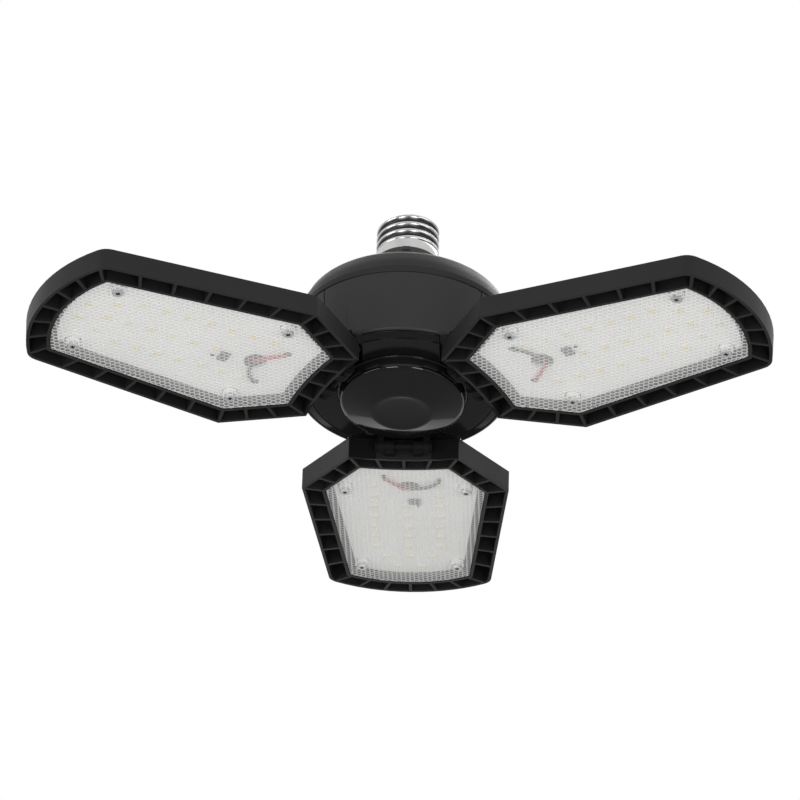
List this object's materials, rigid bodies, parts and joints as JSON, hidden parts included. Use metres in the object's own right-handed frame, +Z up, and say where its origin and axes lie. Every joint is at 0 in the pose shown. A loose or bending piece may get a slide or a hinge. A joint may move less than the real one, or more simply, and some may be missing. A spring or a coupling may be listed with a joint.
{
  "type": "folding garage light",
  "caption": "Ceiling light on a screw base: a round hub with hinged, ribbed light leaves under clear prismatic lenses and a glossy centre dish.",
  "frame": {"origin": "middle of the plain skirt of the screw shell, on the hub's axis", "axes": "+Z up the screw shell into the lamp holder; leaf c reaches out along +Y, leaves a and b at 210 and 330 degrees"},
  "size_m": [0.2964, 0.2659, 0.1054],
  "materials": {
    "shell": "nickel plated, bright, with fine handling marks",
    "insulator": "pale glazed insulator",
    "contact": "tinned brass",
    "collar": "black moulded plastic",
    "hub": "charcoal satin moulding",
    "carrier": "black satin moulding",
    "dish": "high gloss black",
    "driver_pcb": "green solder mask",
    "capacitor": "sleeved can",
    "transformer": "ferrite core with yellow tape",
    "driver_parts": "moulded components",
    "leads": "insulated wire",
    "grommet": "black rubber",
    "steel": "zinc plated steel",
    "hinge_steel": "black coated steel",
    "frame": "charcoal powder coat on die casting",
    "board": "white solder mask",
    "pad": "grey thermal pad",
    "chip": "yellow phosphor",
    "gasket": "pale silicone",
    "lens": "clear prismatic sheet"
  },
  "bodies": {
    "hub": {"screw_shell": "shell", "base_insulator": "insulator", "centre_contact": "contact", "base_collar": "collar", "top_cap": "hub", "hub_body": "hub", "hinge_carrier": "carrier", "centre_dish": "dish", "driver_board": "driver_pcb", "driver_capacitor": "capacitor", "driver_transformer": "transformer", "driver_parts": "driver_parts", "base_leads": "leads", "hub_leads": "leads", "hub_grommets": "grommet", "hub_screws": "hinge_steel", "bracket_screws": "hinge_steel", "hinge_bracket_a": "hinge_steel", "hinge_bracket_b": "hinge_steel", "hinge_bracket_c": "hinge_steel", "hinge_pin_a": "hinge_steel", "hinge_pin_b": "hinge_steel", "hinge_pin_c": "hinge_steel", "friction_washers_a": "hinge_steel", "friction_washers_b": "hinge_steel", "friction_washers_c": "hinge_steel"},
    "leaf_a": {"panel_frame_a": "frame", "led_board_a": "board", "thermal_pad_a": "pad", "led_chips_a": "chip", "board_parts_a": "driver_parts", "panel_wires_a": "leads", "panel_grommet_a": "grommet", "lens_gasket_a": "gasket", "lens_a": "lens", "lens_screws_a": "steel"},
    "leaf_b": {"panel_frame_b": "frame", "led_board_b": "board", "thermal_pad_b": "pad", "led_chips_b": "chip", "board_parts_b": "driver_parts", "panel_wires_b": "leads", "panel_grommet_b": "grommet", "lens_gasket_b": "gasket", "lens_b": "lens", "lens_screws_b": "steel"},
    "leaf_c": {"panel_frame_c": "frame", "led_board_c": "board", "thermal_pad_c": "pad", "led_chips_c": "chip", "board_parts_c": "driver_parts", "panel_wires_c": "leads", "panel_grommet_c": "grommet", "lens_gasket_c": "gasket", "lens_c": "lens", "lens_screws_c": "steel"}
  },
  "joints": [
    {"name": "fold_a", "type": "hinge", "parent": "hub", "child": "leaf_a", "pos_m": [-0.02615, -0.0151, -0.0725], "axis": [0.5, -0.866, 0], "range_deg": [-13.6, 86.4]},
    {"name": "fold_b", "type": "hinge", "parent": "hub", "child": "leaf_b", "pos_m": [0.02615, -0.0151, -0.0725], "axis": [0.5, 0.866, 0], "range_deg": [-13.6, 86.4]},
    {"name": "fold_c", "type": "hinge", "parent": "hub", "child": "leaf_c", "pos_m": [0, 0.0302, -0.0725], "axis": [-1, 0, 0], "range_deg": [-2, 98]}
  ]
}
